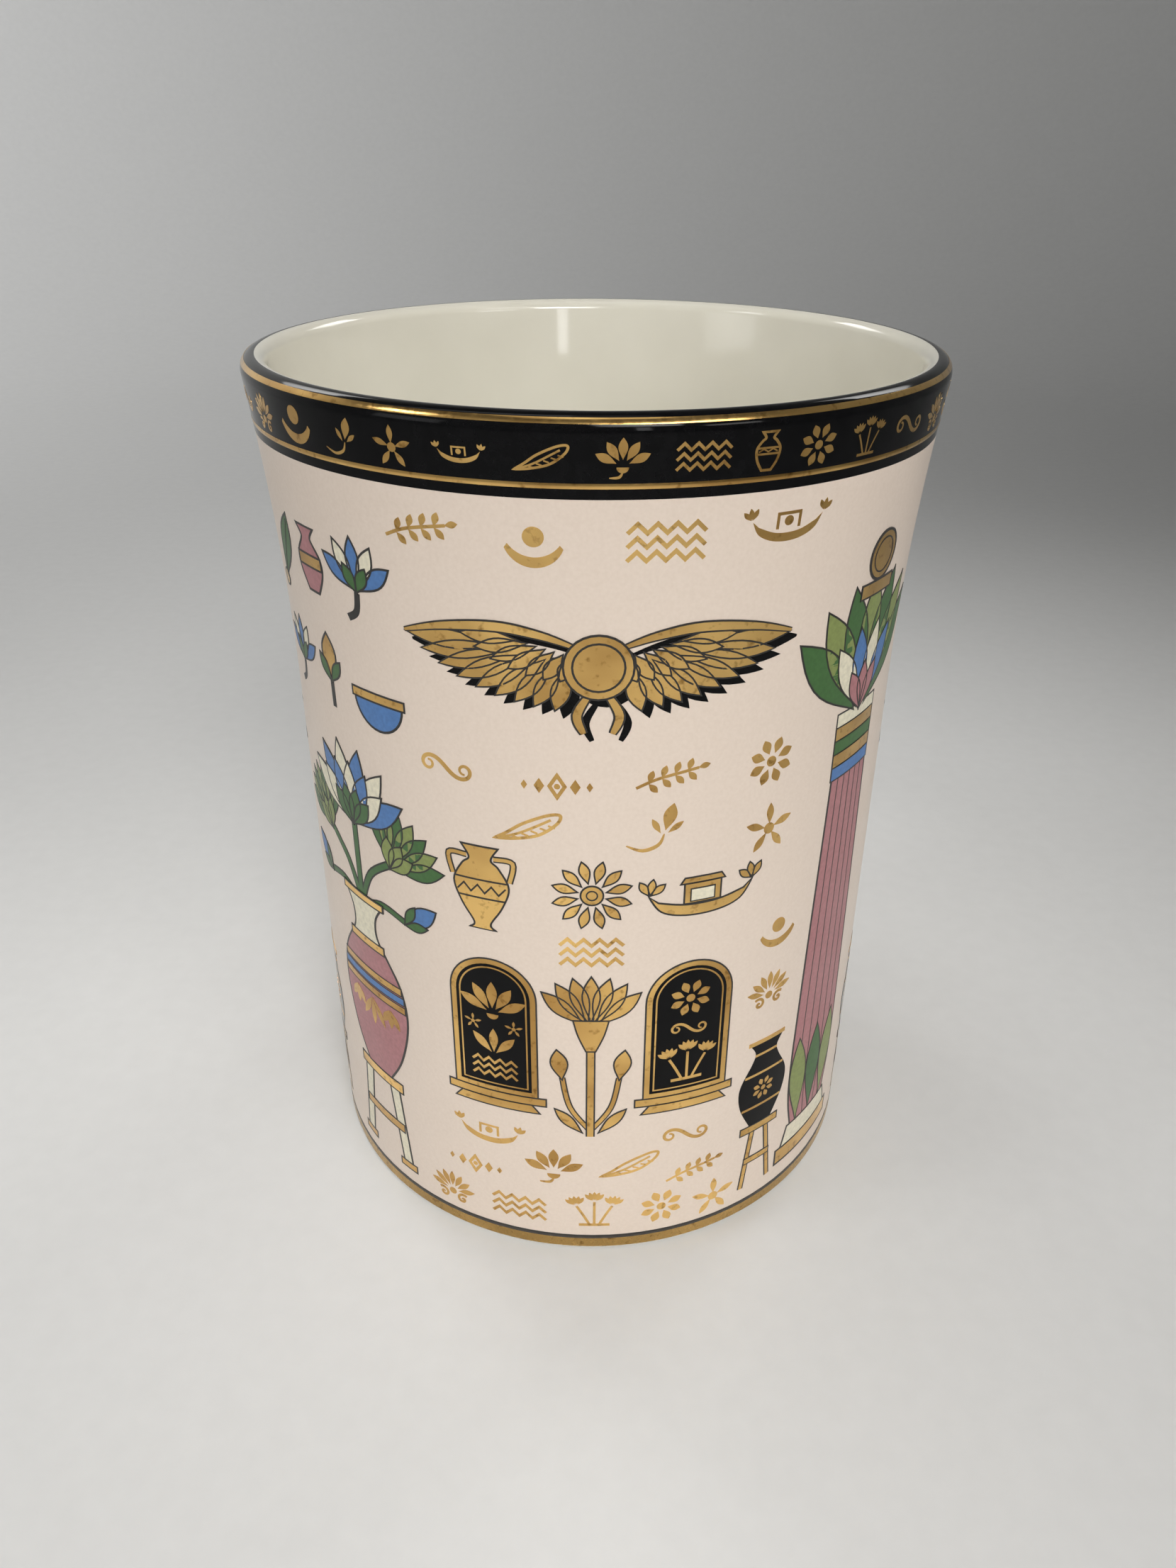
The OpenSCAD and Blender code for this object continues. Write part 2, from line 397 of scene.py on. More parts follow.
def placed(parts, x=0, y=0, turn=0, size=1, flip=1):
    """Patches moved as a group."""
    out = []
    for name, layer, points, faces in parts:
        if flip < 0:
            faces = [tuple(reversed(face)) for face in faces]
        out.append((name, layer, moved(points, x, y, turn, size, flip), faces))
    return out


def raised(parts, layers):
    return [(name, layer + layers, points, faces) for name, layer, points, faces in parts]


def fan(x, y, count, middle, sweep, start, length, width, names=("gold",), layer=0, line=0):
    """Petals round a point, evenly over the sweep, from a start radius outwards."""
    gap = sweep / count if sweep >= 360 else sweep / max(count - 1, 1)
    first = middle - gap * (count - 1) / 2
    parts = []
    for i in range(count):
        a = first + gap * i
        base = moved([(start, 0)], x, y, a)[0]
        parts += shape(names[i % len(names)], petal(*base, a, length, width), layer, line)
    return parts


# Small gold ornaments, about 8 mm wide and 6 mm high round their own middle


def rosette():
    return fan(0, 0, 8, 90, 360, 0.95, 1.95, 1.15) + fill("gold", circle(0, 0, 0.62))


def star():
    return fan(0, 0, 5, 90, 360, 0.55, 2.7, 0.95) + fill("gold", circle(0, 0, 0.7))


def lotus():
    parts = fan(0, -1.4, 5, 90, 128, 0.95, 3.2, 1.3)
    parts += fill("gold", arc(0, -1.55, 0.85, 180, 360))
    return parts + stroke("gold", smooth([(0, -2.3), (-0.5, -3), (-1.8, -3.1)]), 0.4, taper=0.4)


def bud():
    parts = fill("gold", petal(0.8, -0.6, 75, 3.4, 1.5))
    parts += fill("gold", petal(0.3, -0.9, 118, 2.1, 0.7)) + fill("gold", petal(1.1, -0.9, 36, 2.1, 0.7))
    stalk = smooth([(0.7, -1), (0.1, -2.3), (-1.6, -2.9), (-3.4, -2.2)])
    return parts + stroke("gold", stalk, 0.45, taper=0.3)


def scroll():
    """S-shaped scroll whose bend tightens evenly from its middle to both eyes."""
    half = [(0, 0)]
    stride = 0.14
    strides = 46
    bend = 0.18
    for i in range(strides):
        turn = bend * (stride * i) ** 2 - math.pi / 4
        half.append((half[-1][0] + stride * math.cos(turn), half[-1][1] + stride * math.sin(turn)))
    line = [(-x, -y) for x, y in reversed(half[1:])] + half
    return stroke("gold", line, 0.52, taper=0.45)


def ripples():
    line = [(-3.6 + 0.9 * i, 0.45 if i % 2 else -0.45) for i in range(9)]
    rows = [stroke("gold", moved(line, 0, y), 0.42) for y in (-1.35, 0, 1.35)]
    return sum(rows, [])


def palmette():
    parts = fan(0, -0.9, 7, 90, 150, 0.9, 2.6, 0.85)
    parts += stroke("gold", spiral(-1.5, -1.9, 0.9, 1.2, 60), 0.38)
    parts += stroke("gold", moved(spiral(-1.5, -1.9, 0.9, 1.2, 60), flip=-1), 0.38)
    return parts + fill("gold", circle(0, -1, 0.55))


def crescent():
    outer = arc(0, 0.6, 2.9, 200, 340, 20)
    inner = arc(0, 1.7, 2.95, 325, 215, 20)
    return fill("gold", outer + inner) + fill("gold", circle(0, 0.75, 1.0))


def feather():
    vane = smooth([
        (-3.6, -1.5), (-1.5, -1.3), (1.2, -0.6), (3.2, 0.9), (3.6, 2.0),
        (2.2, 1.9), (-0.4, 0.7), (-2.2, -0.6), (-3.6, -1.5),
    ])
    parts = stroke("gold", vane[:-1], 0.36, closed=True)
    parts += stroke("gold", smooth([(-3.6, -1.5), (-1, -0.6), (2.6, 1.4)]), 0.3)
    for x in (-1.6, -0.6, 0.4, 1.4, 2.3):
        parts += stroke("gold", [(x, 0.42 * x - 0.3), (x + 0.75, 0.42 * x - 0.55)], 0.22)
    return parts


def reeds():
    parts = []
    for x, top, lean in ((-2, 0.5, 12), (0, 1.3, 0), (2, 0.5, -12)):
        parts += fan(x * 1.15, top, 5, 90 + lean, 84, 0.35, 1.5, 0.55)
        parts += stroke("gold", smooth([(x * 0.3, -2.9), (x * 0.75, -1), (x * 1.15, top)]), 0.34)
    return parts + stroke("gold", [(-2, -2.9), (2, -2.9)], 0.45)


def boat():
    hull = smooth([(-3.9, 0.7), (-3.1, -0.7), (-1.2, -1.5), (1.2, -1.5), (3.1, -0.7), (3.9, 0.7)])
    deck = smooth([(3.2, 0.1), (1.2, -0.65), (-1.2, -0.65), (-3.2, 0.1)])
    parts = fill("gold", hull + deck)
    parts += stroke("gold", [(-1.2, -0.3), (-1.2, 1.2), (1.2, 1.2), (1.2, -0.3)], 0.32)
    parts += fill("gold", circle(0, 0.45, 0.5))
    return parts + fan(-4, 0.8, 3, 100, 70, 0.1, 1.2, 0.5) + fan(4, 0.8, 3, 80, 70, 0.1, 1.2, 0.5)


def sprig():
    parts = stroke("gold", smooth([(-3.5, -1.2), (-1, -0.2), (3.2, 0.6)]), 0.34)
    for x, y in ((-2.2, -0.65), (-0.8, -0.15), (0.6, 0.15), (2, 0.4)):
        parts += fill("gold", petal(x, y, 72, 1.5, 0.75)) + fill("gold", petal(x, y - 0.1, -48, 1.5, 0.75))
    return parts + fill("gold", petal(3.1, 0.6, 12, 1.4, 0.7))


def diamonds():
    parts = []
    for x, r in ((-3.2, 0.55), (-1.6, 0.9), (0.3, 1.3), (2.2, 0.9), (3.7, 0.55)):
        loop = [(x - r * 0.62, 0), (x, -r), (x + r * 0.62, 0), (x, r)]
        parts += fill("gold", loop) if r < 1.2 else stroke("gold", loop, 0.4, closed=True)
    return parts + fill("gold", circle(0.3, 0, 0.32))


def jar():
    body = turned([(0.7, -2.8), (1.5, -1.4), (1.75, 0.2), (1.1, 1.3), (0.6, 1.8), (1.1, 2.6)])
    parts = stroke("gold", body, 0.38, closed=True)
    for y in (-0.5, 0.35):
        parts += stroke("gold", [(-1.6, y), (1.6, y)], 0.3)
    return parts + stroke("gold", [(-1.4, -0.2), (-0.7, 0.2), (0, -0.2), (0.7, 0.2), (1.4, -0.2)], 0.2)


SCATTER = (
    rosette, sprig, lotus, ripples, bud, scroll, star,
    boat, palmette, feather, crescent, reeds, diamonds, jar,
)
RIM_SIGNS = (lotus, ripples, jar, rosette, reeds, scroll, palmette, crescent, bud, star, boat, feather)


# Larger ornaments: each stands on its own origin, or lies round it


def winged_disc():
    """Gold disc between two spread wings, about 34 mm across."""
    wing = []
    for i, t in enumerate(steps(8)):
        root = (2.6 + 5.4 * t, 0.4 + 1.6 * t)
        turn = -74 + 74 * t ** 0.8
        length = 4.6 + 5.4 * t ** 1.3
        wing += shape("gold", petal(*root, turn, length, 1.75), 1 + i % 2, 0.16)
    for i, t in enumerate(steps(6)):
        root = (2.3 + 4.6 * t, 1.3 + 1.35 * t)
        wing += shape("gold", petal(*root, -66 + 68 * t, 2.6 + 2.8 * t, 1.35), 3 + i % 2, 0.16)
    brow = smooth([(2, 2.2), (5, 3.2), (9, 3.75), (14, 3.2), (18, 2.1)])
    wing += stroke("line", brow, 1.15, 5, taper=0.4) + stroke("gold", brow, 0.8, 6, taper=0.3)
    parts = wing + placed(wing, flip=-1)
    for side in (-1, 1):
        tail = smooth([(side * 0.9, -2.4), (side * 1.9, -4.4), (side * 1.3, -6.2)])
        parts += stroke("line", tail, 1.1, 5, taper=0.7) + stroke("gold", tail, 0.75, 6, taper=0.6)
    parts += shape("gold", circle(0, 0.3, 3.1), 6, 0.2)
    parts += stroke("line", circle(0, 0.3, 2.3), 0.2, 7, closed=True)
    masses = [part for part in parts if part[0] != "line"]
    shadow = [("black", 0, moved(points, 0.75, -0.75), faces) for _, _, points, faces in masses]
    return shadow + parts


def arch(half, foot, spring=16):
    """Loop of an upright panel with a round top."""
    return [(-half, foot), (half, foot), *arc(0, spring, half, 0, 180, 24)]


def black_panel(inside):
    """Arched black panel in a double gold frame on a gold foot, 11 mm wide and 22 mm high."""
    parts = fill("black", arch(5.4, 1.2))
    parts += stroke("gold", arch(5.0, 1.6), 0.7, 1, closed=True)
    parts += stroke("line", arch(5.4, 1.2), 0.2, 2, closed=True)
    parts += stroke("gold", arch(4.15, 2.45), 0.2, 1, closed=True)
    parts += shape("gold", rectangle(-6.4, 0, 6.4, 1.2), 1, 0.2)
    parts += shape("gold", [(-5.6, -1.3), (5.6, -1.3), (4.6, 0), (-4.6, 0)], 1, 0.2)
    return parts + raised(inside, 1)


def lotus_panel():
    inside = fan(0, 13.4, 5, 90, 124, 0.8, 3.9, 1.35) + fill("gold", arc(0, 13.3, 0.75, 180, 360))
    inside += fan(0, 7.1, 3, 90, 84, 0.4, 3.6, 1.15) + placed(ripples(), 0, 5, 0, 0.8)
    for side in (-1, 1):
        inside += placed(star(), side * 2.6, 11.6, 0, 0.36) + fill("gold", circle(side * 2.9, 14.6, 0.3, 14))
    return black_panel(inside)


def rosette_panel():
    inside = placed(rosette(), 0, 16, 0, 0.9) + placed(reeds(), 0, 6.5, 0, 1.0)
    return black_panel(inside + placed(scroll(), 0, 11.5, 0, 0.75))


def garden_stem():
    """Gold papyrus on a tall stem between two buds, with dark outlines, 27 mm high."""
    parts = fan(0, 18, 7, 90, 96, 1.2, 7, 2.2, ("gold",), 2, 0.2)
    parts += shape("gold", turned([(0.6, 14.5), (1.6, 17), (2.2, 19.4)]), 4, 0.2)
    for side in (-1, 1):
        bend = smooth([(0, 1), (side * 2.6, 5), (side * 3.6, 10)])
        parts += stroke("line", bend, 0.85, 0) + stroke("gold", bend, 0.5, 1)
        parts += shape("gold", petal(side * 3.6, 9.6, 90 - side * 8, 5, 2.2), 2, 0.2)
        parts += shape("gold", petal(side * 1.0, 0.6, 90 - side * 42, 5.4, 1.5), 2, 0.2)
    stem = [(0, 0), (0, 15)]
    return parts + stroke("line", stem, 1.2, 2) + stroke("gold", stem, 0.8, 3)


def big_rosette():
    parts = fan(0, 0, 12, 90, 360, 1.6, 2.9, 1.15, ("gold",), 0, 0.18)
    parts += shape("gold", circle(0, 0, 1.25), 1, 0.2)
    return parts + stroke("line", circle(0, 0, 0.6, 16), 0.16, 3, closed=True)


def gold_vase():
    """Outlined gold vase with two handles, 12 mm high."""
    body = turned([(1.6, 0), (1.0, 0.8), (2.4, 3.2), (3.3, 6), (2.2, 8.4), (1.3, 9.4), (2.2, 11)])
    parts = shape("gold", body, 1, 0.22)
    for y, half in ((4.2, 2.8), (6.6, 3.1)):
        parts += stroke("line", [(-half, y), (half, y)], 0.2, 3)
    parts += stroke("line", [(-2.9 + 0.83 * i, 5.9 if i % 2 else 4.9) for i in range(8)], 0.2, 3)
    for side in (-1, 1):
        ear = smooth([(side * 1.6, 9.6), (side * 3.8, 9.4), (side * 3.4, 6.8)])
        parts += stroke("line", ear, 0.8, 0) + stroke("gold", ear, 0.45, 1)
    return parts


def gold_boat():
    """Outlined gold boat with a canopy, 13 mm long."""
    hull = smooth([(-6.6, 3.2), (-5, 0.9), (-2, 0), (2, 0), (5, 0.9), (6.6, 3.2)])
    deck = smooth([(5.4, 2.2), (2, 1.5), (-2, 1.5), (-5.4, 2.2)])
    parts = shape("gold", hull + deck, 1, 0.22)
    parts += shape("gold", rectangle(-2.3, 1.6, 2.3, 4.4), 1, 0.22)
    parts += shape("cream", rectangle(-1.5, 1.9, 1.5, 3.6), 3, 0.16)
    parts += shape("gold", [(-2.8, 4.4), (2.8, 4.4), (2.3, 5.2), (-2.3, 5.2)], 1, 0.2)
    for side in (-1, 1):
        parts += fan(side * 6.5, 3.2, 3, 90 + side * 10, 80, 0.2, 2.2, 0.95, ("gold",), 1, 0.18)
    return parts


def papyrus_head(names):
    """Fan of leaves over a calyx, about 9 mm high."""
    parts = fan(0, 0, 7, 90, 92, 1.5, 7.4, 2.5, names, 0, 0.2)
    return parts + fan(0, 0, 3, 90, 62, 0, 4.6, 2.2, ("olive",), 2, 0.2)


def lotus_head():
    """Open lotus in three rows, about 11 mm high."""
    parts = fan(0, 0, 6, 90, 118, 0.5, 9.6, 3, ("blue", "cream"), 0, 0.2)
    parts += fan(0, 0, 5, 90, 92, 0.2, 7.6, 2.6, ("cream", "blue"), 2, 0.2)
    return parts + fan(0, 0, 4, 90, 84, 0, 4.9, 2.2, ("green",), 4, 0.2)


def bouquet_vase():
    """Tall coloured vase on a stand, holding lotus and papyrus, 64 mm high."""
    parts = []
    for side in (-1, 1):
        leg = [(side * 5.4, 0), (side * 3.7, 0), (side * 2.0, 13), (side * 3.9, 13)]
        parts += shape("cream", leg if side < 0 else leg[::-1])
        parts += shape("gold", rectangle(side * 4.6 - 1.6, -1.2, side * 4.6 + 1.6, 0), 0, 0.2)
        stem = smooth([(0, 41), (side * 2.4, 46), (side * 6.2, 49)])
        parts += stroke("line", stem, 1.15, 0) + stroke("green", stem, 0.7, 1)
        parts += placed(papyrus_head(("green", "olive")), side * 6.2, 48.4, -side * 30, 0.95)
        curl = smooth([(0, 40.5), (side * 4, 42.4), (side * 8.2, 41.6)])
        parts += stroke("line", curl, 1.0, 0) + stroke("green", curl, 0.6, 1)
        parts += shape("blue", petal(side * 8, 41.4, 90 - side * 55, 6, 2.6), 2, 0.2)
        parts += shape("green", petal(side * 8, 41.3, 90 - side * 80, 3.6, 1.3), 4, 0.2)
        parts += shape("green", petal(side * 8, 41.3, 90 - side * 30, 3.6, 1.3), 4, 0.2)
    parts += shape("gold", rectangle(-4.4, 5.2, 4.4, 6.6), 2, 0.2)
    parts += shape("gold", rectangle(-4.8, 12.4, 4.8, 14), 2, 0.2)
    parts += stroke("line", [(0, 41), (0, 53)], 1.2, 0) + stroke("green", [(0, 41), (0, 53)], 0.8, 1)
    parts += raised(placed(lotus_head(), 0, 52, 0, 1.05), 4)
    parts += shape("mauve", turned([(2.6, 14), (5.2, 18.5), (6.9, 25), (6.2, 30.5), (3.4, 35)]), 2)
    parts += shape("cream", turned([(3.2, 35), (2.3, 37), (2.5, 39.4), (3.9, 41.6)]), 2)
    parts += shape("gold", rectangle(-4.2, 41.2, 4.2, 42.2), 8, 0.2)
    parts += shape("gold", rectangle(-3.6, 34.4, 3.6, 35.6), 4, 0.2)
    for y, half, name in ((29.6, 6.25, "gold"), (28.2, 6.6, "blue"), (26.8, 6.7, "gold")):
        parts += shape(name, rectangle(-half, y, half, y + 1.1), 4, 0.16)
    for x, length in ((-3.7, 3), (0, 4.4), (3.7, 3)):
        parts += raised(placed(fan(0, 0, 3, 270, 62, 0.2, length, 1.1), x, 26.2), 4)
    return parts


def palm_column():
    """Tall coloured column with a leaf capital and a gold disc, 88 mm high."""
    parts = shape("gold", rectangle(-7, 0, 7, 2.6), 0)
    parts += shape("cream", [(-6, 2.6), (6, 2.6), (5, 6), (-5, 6)], 0)
    half = ((4.4, 6), (5.6, 14), (5.2, 32), (4.1, 60))
    parts += shape("mauve", turned(half), 0)
    for share in (-0.66, -0.33, 0, 0.33, 0.66):
        parts += stroke("line", smooth([(share * x, y) for x, y in half]), 0.16, 1)
    for x, turn in ((-3.2, 94), (3.2, 86), (0, 90)):
        parts += shape("olive" if x else "green", petal(x, 6, turn, 15, 3.6), 2, 0.2)
    for i, name in enumerate(("blue", "gold", "green", "gold", "cream")):
        parts += shape(name, rectangle(-4.4, 59 + 1.7 * i, 4.4, 60.7 + 1.7 * i), 2, 0.18)
    parts += raised(fan(0, 66, 7, 90, 92, 1.5, 15.5, 4.6, ("green", "olive"), 0, 0.22), 2)
    parts += raised(fan(0, 66.4, 4, 90, 64, 1, 10, 3.1, ("blue", "cream"), 0, 0.2), 4)
    parts += raised(fan(0, 66.8, 3, 90, 56, 0, 6, 2.2, ("mauve",), 0, 0.2), 6)
    parts += shape("gold", rectangle(-3.4, 80.6, 3.4, 82.2), 6, 0.2)
    parts += shape("gold", circle(0, 85, 2.7), 6)
    return parts + stroke("line", circle(0, 85, 1.9), 0.16, 8, closed=True)


def feather_fan():
    """Feather fan on a long gold pole, 72 mm high."""
    pole = [(0, 0), (0, 52)]
    parts = stroke("line", pole, 1.5, 0) + stroke("gold", pole, 1.0, 1)
    for y in (8, 26, 44):
        parts += shape("gold", turned([(0.5, y - 1.4), (1.3, y), (0.5, y + 1.4)]), 2, 0.18)
    parts += fan(0, 54, 11, 90, 172, 4, 13, 3.4, ("green", "blue", "olive", "blue"), 0, 0.22)
    parts += fan(0, 54, 10, 90, 155, 3.4, 8, 2, ("cream", "mauve"), 2, 0.18)
    parts += shape("gold", arc(0, 54, 4.6, 0, 180), 4, 0.22)
    parts += raised(placed(fan(0, 0, 5, 90, 120, 1, 2.6, 0.9, ("blue",)), 0, 54), 6)
    return parts + shape("gold", [(-5.4, 52.6), (5.4, 52.6), (4.6, 54), (-4.6, 54)], 4, 0.2)


def black_stand():
    """Black jar with gold bands on a slender gold stand, 27 mm high."""
    parts = []
    for x in (-2.4, 2.4):
        leg = [(x, 0), (x * 0.5, 10)]
        parts += stroke("line", leg, 0.95, 0) + stroke("gold", leg, 0.55, 1)
    parts += shape("gold", rectangle(-2.2, 4.4, 2.2, 5.4), 2, 0.16)
    parts += shape("gold", rectangle(-3.2, 10, 3.2, 11.2), 2, 0.16)
    body = turned([(1.8, 11.2), (3.6, 15), (3.9, 18.5), (2.2, 22), (1.8, 23.6), (2.9, 25.4)])
    parts += fill("black", body, 2)
    for y, half in ((14.4, 3.3), (20, 3.2), (23.2, 1.8)):
        parts += stroke("gold", [(-half, y), (half, y)], 0.4, 3)
    parts += raised(placed(rosette(), 0, 17.2, 0, 0.62), 3)
    return parts + stroke("gold", [(-3, 25.3), (3, 25.3)], 0.6, 3)


def small_lotus():
    parts = fan(0, 0, 5, 90, 110, 0.4, 4.6, 1.6, ("blue", "cream"), 0, 0.2)
    parts += fan(0, 0, 2, 90, 60, 0, 2.8, 1.3, ("green",), 2, 0.18)
    return parts + stroke("line", smooth([(0, 0), (-0.4, -1.8), (-1.6, -2.6)]), 0.7, 0)


def small_jar():
    body = turned([(0.9, -2.8), (1.9, -1), (1.9, 0.4), (0.9, 1.7), (0.8, 2.2), (1.5, 3)])
    return shape("mauve", body, 0, 0.24) + shape("gold", rectangle(-1.9, -0.6, 1.9, 0.5), 2, 0.18)


def small_plume():
    parts = shape("green", petal(-2, -3, 62, 8, 2.8), 0, 0.24)
    parts += stroke("line", [(-2, -3), (1.4, 3.4)], 0.2, 2)
    return parts + shape("gold", circle(-2, -3, 0.8, 16), 2, 0.2)


def small_bowl():
    loop = arc(0, 0.8, 3, 180, 360)
    return shape("blue", loop, 0, 0.24) + shape("gold", rectangle(-3.3, 0.6, 3.3, 1.5), 2, 0.18)


def small_bud():
    parts = shape("gold", petal(0, -0.5, 90, 4.4, 2.3), 0, 0.22)
    parts += fan(0, -0.6, 2, 90, 74, 0, 2.8, 1.1, ("green",), 2, 0.18)
    return parts + stroke("line", [(0, -0.5), (0, -3)], 0.6, 0)


# Layout on the unrolled wall: each ornament, its place across from the middle of the front and up from the
# table in millimetres, and its size


FRONT = (
    (winged_disc, 0.5, 83.2, 1.12),
    (lotus_panel, -11.8, 25, 1),
    (rosette_panel, 11.8, 25, 1),
    (garden_stem, 0, 20.5, 0.95),
    (big_rosette, 0, 56.5, 1),
    (gold_vase, -12.5, 50.5, 1),
    (gold_boat, 12.5, 53, 0.95),
    (bouquet_vase, -31.5, 6, 1),
    (palm_column, 34.5, 5.5, 1),
    (black_stand, 23.6, 5, 1),
)
SMALLS = (
    (small_lotus, -25.8, 88, 1.2),
    (small_jar, -34, 89.5, 1.25),
    (small_plume, -41, 88.5, 1.2),
    (small_bowl, -24.8, 75, 1.2),
    (small_bud, -33, 76.5, 1.3),
    (small_lotus, -41, 75.5, 1.1),
)
FRONT_SCATTER = (
    (sprig, -17, 96.5), (crescent, -5.5, 96), (ripples, 6.5, 96.3), (boat, 18.5, 96.8),
    (scroll, -16, 70.5), (diamonds, -4, 70), (sprig, 8, 71), (rosette, 20, 70.5),
    (feather, -7, 64.5), (bud, 7, 65), (star, 20.5, 62), (crescent, 23.5, 47),
    (ripples, 0, 48.8), (palmette, 23, 38.5),
    (boat, -13, 18.8), (scroll, 12.2, 19.2), (lotus, -4.6, 15.2), (feather, 5, 15),
    (diamonds, -15.5, 12.5), (ripples, -9.3, 6.8), (reeds, 0.6, 7.6), (sprig, 13.4, 12.6),
    (palmette, -19, 6.6), (rosette, 9.4, 7), (star, 16.8, 6.2),
)
BACK = (
    (feather_fan, -66, 6.5, 1),
    (feather_fan, 66, 6.5, 1),
    (lotus_panel, -92, 27, 1),
    (rosette_panel, 92, 27, 1),
    (gold_boat, -94, 60, 0.95),
    (gold_vase, 93, 57, 1),
    (big_rosette, -90, 80, 1),
    (big_rosette, 90, 80, 1),
    (black_stand, 49.5, 5, 1),
    (black_stand, -48, 5, 1),
)

SCATTER_W = 5.0
SCATTER_H = 3.6
SCATTER_PITCH = 12.5
ROW_RISE = 9.2
ROW_FIRST = 8.0
ROW_LAST = 97.5
WALL_HALF = 104
RIM_Z = 104.2
RIM_SIGN_H = 3.75
RIM_SIGN_W = 5.0
RIM_SIGN_GAP = 1.5
BASE_SHADE = (2.45, 2.75)


def extent(parts):
    """Box round patches: least and greatest across, then up."""
    xs = [x for part in parts for x, y in part[2]]
    ys = [y for part in parts for x, y in part[2]]
    return min(xs), max(xs), min(ys), max(ys)


def crowds(box, x, z):
    """Whether a small ornament at a place would come too near to a box."""
    left, right, low, high = box
    return left - SCATTER_W < x < right + SCATTER_W and low - SCATTER_H < z < high + SCATTER_H


def scatter(taken):
    """Small gold ornaments in staggered rows, wherever no larger one is near."""
    parts = []
    rows = int((ROW_LAST - ROW_FIRST) / ROW_RISE) + 1
    across = int(WALL_HALF / SCATTER_PITCH)
    picked = 0
    for row in range(rows):
        z = ROW_FIRST + ROW_RISE * row
        for i in range(-across, across + 1):
            x = SCATTER_PITCH * (i + 0.5 * (row % 2))
            picked += 1
            if not any(crowds(box, x, z) for box in taken):
                parts += placed(SCATTER[(picked * 5 + row * 3) % len(SCATTER)](), x, z)
    return parts


def rim_row():
    """Gold ornaments on the black band, each as large as the band allows, evenly apart all round."""
    signs = []
    for motif in RIM_SIGNS:
        left, right, low, high = extent(motif())
        size = min(RIM_SIGN_H / (high - low), RIM_SIGN_W / (right - left))
        parts = placed(motif(), -size * (left + right) / 2, RIM_Z - size * (low + high) / 2, 0, size)
        signs.append((parts, size * (right - left)))
    around = 2 * math.pi * BODY_R
    row_w = sum(width + RIM_SIGN_GAP for parts, width in signs)
    rows = round(around / row_w)
    gap = RIM_SIGN_GAP + (around / rows - row_w) / len(signs)
    x = 0
    row = []
    for parts, width in signs * rows:
        row += placed(parts, x + width / 2)
        x += width + gap
    return row


def marks(low, high, pitch):
    """Multiples of the pitch from low up to high, without high itself."""
    return [i * pitch for i in range(math.ceil(low / pitch), math.ceil(high / pitch))]


def sliced(points, faces):
    """The flat patch cut into narrow pieces, so that it can bend round the wall."""
    mesh = bmesh.new()
    verts = [mesh.verts.new((x, y, 0)) for x, y in points]
    for face in faces:
        mesh.faces.new([verts[i] for i in face])
    xs = [p[0] for p in points]
    ys = [p[1] for p in points]
    cuts = [((x, 0, 0), (1, 0, 0)) for x in marks(min(xs), max(xs), SLICE_ACROSS)]
    if max(ys) > FLARE_Z:
        low = max(min(ys), FLARE_Z)
        cuts += [((0, y, 0), (0, 1, 0)) for y in marks(low, max(ys), SLICE_UP)]
    for place, way in cuts:
        geom = mesh.verts[:] + mesh.edges[:] + mesh.faces[:]
        bmesh.ops.bisect_plane(mesh, geom=geom, dist=CUT_SLACK, plane_co=place, plane_no=way)
    mesh.verts.index_update()
    flat = [(v.co.x, v.co.y) for v in mesh.verts]
    tops = [[v.index for v in face.verts] for face in mesh.faces]
    rims = []
    for edge in mesh.edges:
        if len(edge.link_faces) == 1:
            loop = edge.link_loops[0]
            rims.append((loop.vert.index, loop.link_loop_next.vert.index))
    mesh.free()
    return flat, tops, rims


def on_wall(x, z, lift):
    """A point of the unrolled wall, wrapped round the cup and lifted off it, in metres."""
    a = x / BODY_R
    r = wall_radius(z) + lift
    return (r * math.sin(a) * MM, -r * math.cos(a) * MM, z * MM)


def link(name, data):
    """A new object in the scene."""
    obj = bpy.data.objects.new(name, data)
    bpy.context.scene.collection.objects.link(obj)
    return obj


def new_object(name, points, faces, material):
    """A smooth-shaded object with its hard edges kept, riding on the cup."""
    mesh = bpy.data.meshes.new(name)
    mesh.from_pydata(points, [], faces)
    mesh.shade_smooth()
    mesh.set_sharp_from_angle(angle=math.radians(SHARP_DEG))
    mesh.materials.append(material)
    obj = link(name, mesh)
    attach(obj, "root")
    return obj


def print_inks(parts):
    """One object for each ink: every patch a thin closed film on the wall."""
    for name, material in INKS.items():
        points = []
        faces = []
        for _, layer, loop, patch in [part for part in parts if part[0] == name]:
            flat, tops, rims = sliced(loop, patch)
            first = len(points)
            under = first + len(flat)
            lift = INK_T + INK_STEP * layer
            points += [on_wall(x, z, lift) for x, z in flat] + [on_wall(x, z, -INK_ROOT) for x, z in flat]
            faces += [[first + i for i in face] for face in tops]
            faces += [[under + i for i in reversed(face)] for face in tops]
            faces += [(first + b, first + a, under + a, under + b) for a, b in rims]
        obj = new_object("print_" + name, points, faces, material)


def print_design():
    large = []
    taken = []
    singles = [(motif, x, z, 1) for motif, x, z in FRONT_SCATTER]
    for motif, x, z, size in (*FRONT, *SMALLS, *singles, *BACK):
        parts = placed(motif(), x, z, 0, size)
        taken.append(extent(parts))
        large += parts
    half_turn = math.pi * BODY_R
    base_shade = fill("line", rectangle(-half_turn, BASE_SHADE[0], half_turn, BASE_SHADE[1]))
    print_inks(large + scatter(taken) + rim_row() + base_shade)


NODE_LOOKS = {
    "cup_body": FOOT,
    "handle": HANDLE_GLAZE,
    "inner_glaze": GLAZE,
    "ground_coat": GROUND,
    "rim_band": BAND,
    "base_line_dark": DARK,
    "base_line_gold": FOOT_GILT,
    "rim_line_upper": GILT,
    "rim_line_lower": GILT,
}


